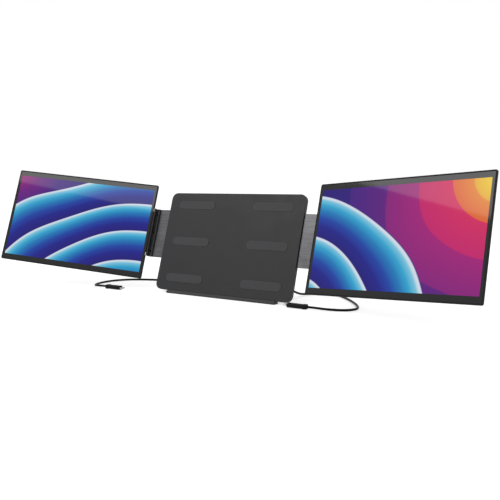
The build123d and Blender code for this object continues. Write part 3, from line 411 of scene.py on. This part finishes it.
def make_cable(side, laptop_plug):
    """One smooth curve from the strain relief at the port to the plug on the desk."""
    curve = bpy.data.curves.new(f"{side}_cable_run", "CURVE")
    curve.dimensions = "3D"
    curve.bevel_depth = cable_diameter / 2
    curve.bevel_resolution = 8
    curve.use_fill_caps = True
    curve.resolution_u = 12
    line = curve.splines.new("NURBS")
    points = cable_points(side)
    line.points.add(len(points) - 1)
    for at, point in zip(line.points, points):
        at.co = (*point, 1.0)
    line.order_u = 3
    line.use_endpoint_u = True
    cable = bpy.data.objects.new(f"{side}_cable_run", curve)
    bpy.context.collection.objects.link(cable)
    curve.materials.append(cable_rubber)
    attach(cable, "housing")
    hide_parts(f"{side}_cable")


# ---------------------------------------------------------------- pieces made of rings
crease_angle = radians(38)
corner_steps = 5
merge_distance = 0.001 * MM


def new_piece(name, mesh, material, body, slot_name, *nodes):
    """Links a finished mesh, rides it on its body and lets it stand for its solids."""
    mesh.materials.clear()
    mesh.materials.append(material)
    mesh.shade_smooth()
    mesh.set_sharp_from_angle(angle=crease_angle)
    piece = bpy.data.objects.new(name, mesh)
    bpy.context.collection.objects.link(piece)
    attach(piece, body)
    if nodes:
        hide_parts(*nodes)
    return piece


def rounded_ring(half_width, half_height, corner):
    """The points of a rounded rectangle, anticlockwise."""
    corner = min(corner, half_width, half_height)
    middles = [(1, 1), (-1, 1), (-1, -1), (1, -1)]
    points = []
    for quarter, (x, y) in enumerate(middles):
        for corner_step in range(corner_steps + 1):
            angle = (quarter + corner_step / corner_steps) * pi / 2
            points.append((x * (half_width - corner) + corner * cos(angle),
                           y * (half_height - corner) + corner * sin(angle)))
    return points


def rings_mesh(name, rings):
    """A closed mesh through rings with equally many points, capped at both ends."""
    build = bmesh.new()
    rows = [[build.verts.new(point) for point in ring] for ring in rings]
    count = len(rows[0])
    for low, high in zip(rows, rows[1:]):
        for k in range(count):
            build.faces.new((low[k], low[(k + 1) % count], high[(k + 1) % count], high[k]))
    build.faces.new(rows[0])
    build.faces.new(rows[-1])
    bmesh.ops.remove_doubles(build, verts=build.verts, dist=merge_distance)
    bmesh.ops.recalc_face_normals(build, faces=build.faces)
    mesh = bpy.data.meshes.new(name)
    build.to_mesh(mesh)
    build.free()
    return mesh


def lofted(name, origin, across, up, along, sections):
    """A mesh through rounded sections: (distance, half width, half height, corner radius)."""
    rings = []
    for distance, half_width, half_height, corner in sections:
        ring = [origin + along * distance + across * x + up * y
                for x, y in rounded_ring(half_width, half_height, corner)]
        rings.append(ring)
    return rings_mesh(name, rings)


def joined(name, meshes):
    """One mesh from several."""
    build = bmesh.new()
    for mesh in meshes:
        build.from_mesh(mesh)
        bpy.data.meshes.remove(mesh)
    mesh = bpy.data.meshes.new(name)
    build.to_mesh(mesh)
    build.free()
    return mesh


# ---------------------------------------------------------------- repeated details
def new_tree(name, sockets):
    """A Geometry Nodes tree with named inputs, each with the kind of its socket."""
    tree = bpy.data.node_groups.new(name, "GeometryNodeTree")
    tree.interface.new_socket("Geometry", in_out="INPUT", socket_type="NodeSocketGeometry")
    for socket_name, kind in sockets.items():
        tree.interface.new_socket(socket_name, in_out="INPUT", socket_type="NodeSocket" + kind)
    tree.interface.new_socket("Geometry", in_out="OUTPUT", socket_type="NodeSocketGeometry")
    return tree


def finished_tree(tree, row, material):
    """Ends a tree: turns its instances into a mesh, and gives them the material."""
    real = add_node(tree, "GeometryNodeRealizeInstances", {"Geometry": row}).outputs[0]
    dressed = add_node(tree, "GeometryNodeSetMaterial", {"Geometry": real, "Material": material})
    leave = tree.nodes.new("NodeGroupOutput")
    tree.links.new(dressed.outputs[0], leave.inputs[0])
    return tree


def rib_tree():
    """Rounded ribs in a row: a stretched ball on each point of a line."""
    tree = new_tree("grip_ribs", {
        "Count": "Int", "Spacing": "Float", "Length": "Float", "Width": "Float", "Height": "Float",
        "Material": "Material"})
    entry = tree.nodes.new("NodeGroupInput").outputs
    offset = add_node(tree, "ShaderNodeCombineXYZ", {0: entry["Spacing"]}).outputs[0]
    places = {"Count": entry["Count"], "Offset": offset}
    line = add_node(tree, "GeometryNodeMeshLine", places).outputs[0]
    unit_ball = {"Segments": 16, "Rings": 8, "Radius": 0.5}
    ball = add_node(tree, "GeometryNodeMeshUVSphere", unit_ball).outputs[0]
    sizes = {0: entry["Width"], 1: entry["Length"], 2: entry["Height"]}
    size = add_node(tree, "ShaderNodeCombineXYZ", sizes).outputs[0]
    rib = add_node(tree, "GeometryNodeTransform", {"Geometry": ball, "Scale": size}).outputs[0]
    row = add_node(tree, "GeometryNodeInstanceOnPoints", {"Points": line, "Instance": rib}).outputs[0]
    return finished_tree(tree, row, entry["Material"])


def scatter_tree():
    """One shape on every point of a mesh, turned as it is."""
    tree = new_tree("shape_on_points", {"Shape": "Object", "Material": "Material"})
    entry = tree.nodes.new("NodeGroupInput").outputs
    shape = add_node(tree, "GeometryNodeObjectInfo", {"Object": entry["Shape"]}).outputs["Geometry"]
    points = add_node(tree, "GeometryNodeMeshToPoints", {"Mesh": entry["Geometry"]}).outputs[0]
    copies = {"Points": points, "Instance": shape}
    row = add_node(tree, "GeometryNodeInstanceOnPoints", copies).outputs[0]
    return finished_tree(tree, row, entry["Material"])


def grown(tree, name, inputs, mesh=None):
    """Runs a tree on a mesh and returns what it makes as a plain mesh."""
    holder = bpy.data.objects.new(name, mesh or bpy.data.meshes.new(name))
    bpy.context.collection.objects.link(holder)
    modifier = holder.modifiers.new(name, "NODES")
    modifier.node_group = tree
    for socket in tree.interface.items_tree:
        if socket.in_out == "INPUT" and socket.name in inputs:
            modifier[socket.identifier] = inputs[socket.name]
    made = holder.evaluated_get(bpy.context.evaluated_depsgraph_get())
    result = bpy.data.meshes.new_from_object(made)
    bpy.data.objects.remove(holder)
    return result


RIBS = rib_tree()
SCATTER = scatter_tree()


def placed(mesh, origin, x_way, y_way, z_way):
    """Moves a mesh from its own directions to a place on the object."""
    mesh.transform(Matrix.Translation(origin) @ Matrix((x_way, y_way, z_way)).transposed().to_4x4())
    return mesh


# ---------------------------------------------------------------- plugs
rib_count = 6
rib_width = 0.9 * MM
rib_height = 0.5 * MM
rib_spacing = 1.7 * MM
rib_length = plug_width * 0.62
desk_ribs_at = 0.55
port_ribs_at = 0.5
relief_radius = cable_diameter / 2 + 0.5 * MM
relief_round = 0.3 * MM
ring_count = 5
ring_groove = 0.35 * MM
# Where a ring's groove and its crest begin and end, in shares of the way from ring to ring.
groove_start, groove_end, crest_start, crest_end = 0.08, 0.3, 0.42, 0.88

# Rows of sections in millimetres: distance from a start, inset across, inset up, corner radius.
RELIEF_ROWS = [(0.0, 0.3, 0.3, 2.5), (0.3, 0.0, 0.0, 2.5), (1.5, -0.3, -0.3, 2.8)]
COLLAR_START_ROWS = [(0.0, 1.6, 1.0, 2.4), (0.25, 0.5, 0.25, 2.6), (0.9, 0.0, 0.0, 2.6)]
COLLAR_END_ROWS = [(-0.9, 0.0, 0.0, 2.6), (-0.2, 0.15, 0.15, 2.6)]
GRIP_START_ROWS = [(0.0, 0.1, 0.1, 2.6), (0.8, 0.0, 0.0, 2.6)]
GRIP_TIP_ROWS = [(-1.2, 0.0, 0.0, 2.6), (-0.3, 0.3, 0.3, 2.4), (0.0, 1.0, 1.0, 2.0)]
BODY_START_ROWS = [(0.0, 0.8, 0.8, 2.0), (0.3, 0.2, 0.2, 2.4), (0.9, 0.0, 0.0, 2.6)]
BODY_END_ROWS = [(-2.0, 0.0, 0.0, 2.6), (-0.6, 0.7, 0.3, 2.6), (0.0, 2.2, 0.5, 3.0)]


def sections_at(start, half_width, half_height, rows):
    """Sections for lofted() from rows in millimetres about a start and a half size in metres."""
    return [(start + at * MM, half_width - across * MM, half_height - up * MM, corner * MM)
            for at, across, up, corner in rows]


def plug_ribs(name, middle, across, up, along):
    """Grip ribs on both broad faces of a plug."""
    sets = []
    for face in (1, -1):
        ribs = grown(RIBS, f"{name}_ribs", {
            "Count": rib_count, "Spacing": rib_spacing, "Length": rib_length, "Width": rib_width,
            "Height": rib_height, "Material": plug_black})
        start = middle + up * face * (plug_height / 2) - along * rib_spacing * (rib_count - 1) / 2
        sets.append(placed(ribs, start, along, across, up))
    return sets


def overmould(name, origin, up, along, sections, ribs_at, node):
    """A plug's moulded body with its ribs, standing for the plug's solid."""
    across = up.cross(along)
    mould = lofted(f"{name}_mould", origin, across, up, along, sections)
    ribs = plug_ribs(name, origin + along * ribs_at, across, up, along)
    return new_piece(name, joined(name, [mould] + ribs), plug_black, "housing", "plug_black", node)


def make_laptop_plug(side):
    """The plug on the desk: a collar with a soft edge, then a slightly narrower grip."""
    inwards = Vector((-SIDES[side], 0, 0))
    half_width, half_height = plug_width / 2, plug_height / 2
    collar_end = laptop_relief + collar_length
    tip = collar_end + laptop_plug_length
    step_in = plug_step / 2
    sections = sections_at(0.0, relief_radius, relief_radius, RELIEF_ROWS)
    sections += sections_at(laptop_relief, half_width, half_height + step_in, COLLAR_START_ROWS)
    sections += sections_at(collar_end, half_width, half_height + step_in, COLLAR_END_ROWS)
    sections += sections_at(collar_end, half_width - step_in, half_height, GRIP_START_ROWS)
    sections += sections_at(tip, half_width - step_in, half_height, GRIP_TIP_ROWS)
    return overmould(f"{side}_laptop_overmould", cable_points(side)[-1], Vector((0, 0, 1)), inwards,
                     sections, collar_end + laptop_plug_length * desk_ribs_at, f"{side}_laptop_plug")


def relief_rings():
    """Sections of a strain relief that narrows in rings from the port's plug to its cable."""
    thick = plug_height / 2 - plug_step / 2
    pitch = device_relief / ring_count
    sections = []
    for ring in range(ring_count):
        near = thick + (relief_radius - thick) * ring / ring_count
        far = thick + (relief_radius - thick) * (ring + 1) / ring_count
        groove = near - ring_groove
        base = device_plug_length + pitch * ring
        sections += [
            (base + pitch * groove_start, groove, groove, near),
            (base + pitch * groove_end, groove, groove, near),
            (base + pitch * crest_start, near, near, near),
            (base + pitch * crest_end, far, far, far)]
    thin = relief_radius - relief_round
    sections.append((device_plug_length + device_relief, thin, thin, relief_radius))
    return sections


def make_device_plug(side):
    """The plug in the housing's port: a grip, then a ringed strain relief down to the cable."""
    outwards = -TOWARDS
    origin = cable_points(side)[0] - outwards * (device_plug_length + device_relief)
    half_width, half_height = plug_width / 2, plug_height / 2
    sections = sections_at(0.0, half_width, half_height, BODY_START_ROWS)
    sections += sections_at(device_plug_length, half_width, half_height, BODY_END_ROWS)
    return overmould(f"{side}_device_overmould", origin, ALONG, outwards, sections + relief_rings(),
                     device_plug_length * port_ribs_at, f"{side}_device_plug")


for side in SIDES:
    make_device_plug(side)
    make_cable(side, make_laptop_plug(side))


# ---------------------------------------------------------------- screws
def loose_parts(node):
    """The separate lumps of a solid's mesh, each as a list of its points."""
    build = bmesh.new()
    build.from_mesh(frame["nodes"][node].data)
    bmesh.ops.remove_doubles(build, verts=build.verts, dist=merge_distance)
    left = set(build.verts)
    parts = []
    for first in build.verts:
        if first not in left:
            continue
        left.remove(first)
        front, part = [first], [first]
        while front:
            vertex = front.pop()
            for edge in vertex.link_edges:
                other = edge.other_vert(vertex)
                if other in left:
                    left.remove(other)
                    front.append(other)
                    part.append(other)
        parts.append([vertex.co.copy() for vertex in part])
    build.free()
    return parts


# Head radius, head height and shank radius.
SCREW_SIZES = {
    "cover_screws": (1.8 * MM, 0.8 * MM, 0.8 * MM),
    "post_screws": (2.8 * MM, 1.1 * MM, 1.48 * MM),
    "housing_screws": (2.3 * MM, 1.2 * MM, 1.18 * MM),
    "kickstand_screws": (1.7 * MM, 0.3 * MM, 0.88 * MM),
}
# A head's profile from its underside to the rim of its socket, in shares of its radius and height.
HEAD_PROFILE = [(0.97, 0.0), (1.0, 0.12), (1.0, 0.55), (0.94, 0.86), (0.8, 1.0)]
top_band = 0.05 * MM
point_start, point_width = 0.94, 0.8
socket_width, socket_floor = 0.5, 0.35
head_points = 24


def screw_shape(name, head_radius, head_height, shank_radius, length):
    """A low domed head with a six-sided socket and a plain shank, its underside on z = 0."""
    angles = [2 * pi * k / head_points for k in range(head_points)]

    def circle(radius, z):
        return [Vector((radius * cos(angle), radius * sin(angle), z)) for angle in angles]

    def hexagon(radius, z):
        reaches = [radius * cos(pi / 6) / cos((angle % (pi / 3)) - pi / 6) for angle in angles]
        return [Vector((reach * cos(angle), reach * sin(angle), z))
                for reach, angle in zip(reaches, angles)]

    rings = [circle(shank_radius * point_width, head_height - length),
             circle(shank_radius, head_height - length * point_start), circle(shank_radius, 0.0)]
    rings += [circle(head_radius * wide, head_height * high) for wide, high in HEAD_PROFILE]
    rings += [hexagon(head_radius * socket_width, head_height),
              hexagon(head_radius * socket_width, head_height * socket_floor)]
    shape = bpy.data.objects.new(name, rings_mesh(name, rings))
    bpy.context.collection.objects.link(shape)
    return shape


def make_screws(node, body, out, kind):
    """Gives every screw of a solid a head with a socket. Its head end is the one furthest out."""
    head_radius, head_height, shank_radius = SCREW_SIZES[kind]
    places, lengths = [], []
    for part in loose_parts(node):
        reach = [point.dot(out) for point in part]
        top = [point for point, level in zip(part, reach) if level > max(reach) - top_band]
        middle = sum(top, Vector()) / len(top)
        places.append(middle - out * head_height)
        lengths.append(max(reach) - min(reach))
    shape = screw_shape(f"{node}_shape", head_radius, head_height, shank_radius, lengths[0])
    x_way = out.orthogonal().normalized()
    y_way = out.cross(x_way)
    local = [Vector((place.dot(x_way), place.dot(y_way), place.dot(out))) for place in places]
    points = bpy.data.meshes.new(f"{node}_points")
    points.from_pydata(local, [], [])
    heads = grown(SCATTER, f"{node}_heads", {"Shape": shape, "Material": screw_black}, points)
    bpy.data.objects.remove(shape)
    placed(heads, Vector(), x_way, y_way, out)
    new_piece(f"{node}_detailed", heads, screw_black, body, "screw_black", node)


for side in SIDES:
    back_of_display = -display_directions(side)[1]
    make_screws(f"{side}_cover_screws", f"{side}_display", back_of_display, "cover_screws")
    make_screws(f"{side}_post_screws", f"{side}_arm", TOWARDS, "post_screws")
for screws in ("housing_screws", "kickstand_screws"):
    make_screws(screws, "housing", -TOWARDS, screws)


# ---------------------------------------------------------------- floor and light
floor_size = 40.0
floor_glow = 0.5
room_light = 0.7
shown_white = 1.0
object_middle = Vector((0, 0, 0.11))


def background_rays(tree):
    """1 for the rays that see the background: from the camera, off gloss and through glass."""
    seen = step(tree, "LightPath").outputs
    mirrored = maths(tree, "MAXIMUM", seen["Is Glossy Ray"], seen["Is Transmission Ray"])
    return maths(tree, "MAXIMUM", seen["Is Camera Ray"], mirrored)


def white_floor():
    """A pale floor that is white to the camera and keeps the soft shadow under the object."""
    bpy.ops.mesh.primitive_plane_add(size=floor_size)
    floor = bpy.context.object
    floor.name = "floor"
    material = new_material("floor_white")
    tree = material.node_tree
    glow = maths(tree, "MULTIPLY", background_rays(tree), floor_glow)
    surface = step(tree, "BsdfPrincipled", {
        "Base Color": grey(0.8), "Roughness": 0.8,
        "Emission Color": grey(1.0), "Emission Strength": glow})
    step(tree, "OutputMaterial", {"Surface": surface.outputs[0]})
    floor.data.materials.append(material)


def white_room():
    """The world: plain white to the camera and in reflections, a plain level of light elsewhere."""
    world = bpy.data.worlds.new("white_room")
    bpy.context.scene.world = world
    world.use_nodes = True
    tree = world.node_tree
    tree.nodes.clear()
    levels = {0: background_rays(tree), 3: room_light, 4: shown_white}
    strength = step(tree, "MapRange", levels).outputs[0]
    background = step(tree, "Background", {"Color": grey(1.0), "Strength": strength})
    step(tree, "OutputWorld", {"Surface": background.outputs[0]})


def softbox(name, left_end, right_end, height, radiance):
    """A soft lamp whose lower edge runs between two points, facing the object."""
    left_end, right_end = Vector(left_end), Vector(right_end)
    edge = right_end - left_end
    low = (left_end + right_end) / 2
    aim = (low - object_middle).normalized()
    up = aim.cross(edge).normalized()
    if up.z < 0:
        up = -up
    lamp = bpy.data.lights.new(name, "AREA")
    lamp.shape = "RECTANGLE"
    lamp.size, lamp.size_y = edge.length, height
    lamp.energy = radiance * pi * edge.length * height
    holder = bpy.data.objects.new(name, lamp)
    bpy.context.collection.objects.link(holder)
    x = edge.normalized()
    back = x.cross(up).normalized()
    if back.dot(aim) < 0:
        x = -x
        back = -back
    turned = Matrix((x, up, back)).transposed().to_4x4()
    holder.matrix_world = Matrix.Translation(low + up * height / 2) @ turned
    holder.visible_camera = False


white_floor()
white_room()
# The first two lower edges are set so that both panels mirror them as one slanting line.
softbox("front_softbox", (-0.985, -1.71, 1.167), (0.1, -1.71, 1.131), height=0.6, radiance=3.5)
softbox("left_softbox", (-1.24, -0.786, 1.065), (-0.624, -1.233, 1.041), height=0.6, radiance=3.1)
softbox("rear_softbox", (-0.2, 1.9, 1.0), (1.3, 1.5, 1.0), height=0.7, radiance=2.4)


# ---------------------------------------------------------------- camera
def look():
    azimuth, elevation, roll = radians(32.72), radians(6.22), radians(-0.345)
    distance = 1.1926
    target = Vector((0.0515, 0.0221, 0.0877))
    ahead = Vector((-sin(azimuth) * cos(elevation), cos(azimuth) * cos(elevation), -sin(elevation)))
    right = ahead.cross(Vector((0, 0, 1))).normalized()
    up = right.cross(ahead)
    level_right = right * cos(roll) + up * sin(roll)
    level_up = up * cos(roll) - right * sin(roll)
    camera = bpy.data.cameras.new("camera")
    camera.lens = 48.384
    camera.sensor_width = 36.0
    holder = bpy.data.objects.new("camera", camera)
    bpy.context.collection.objects.link(holder)
    turned = Matrix((level_right, level_up, -ahead)).transposed().to_4x4()
    holder.matrix_world = Matrix.Translation(target - ahead * distance) @ turned
    bpy.context.scene.camera = holder


look()
bpy.context.scene.view_settings.view_transform = "Standard"
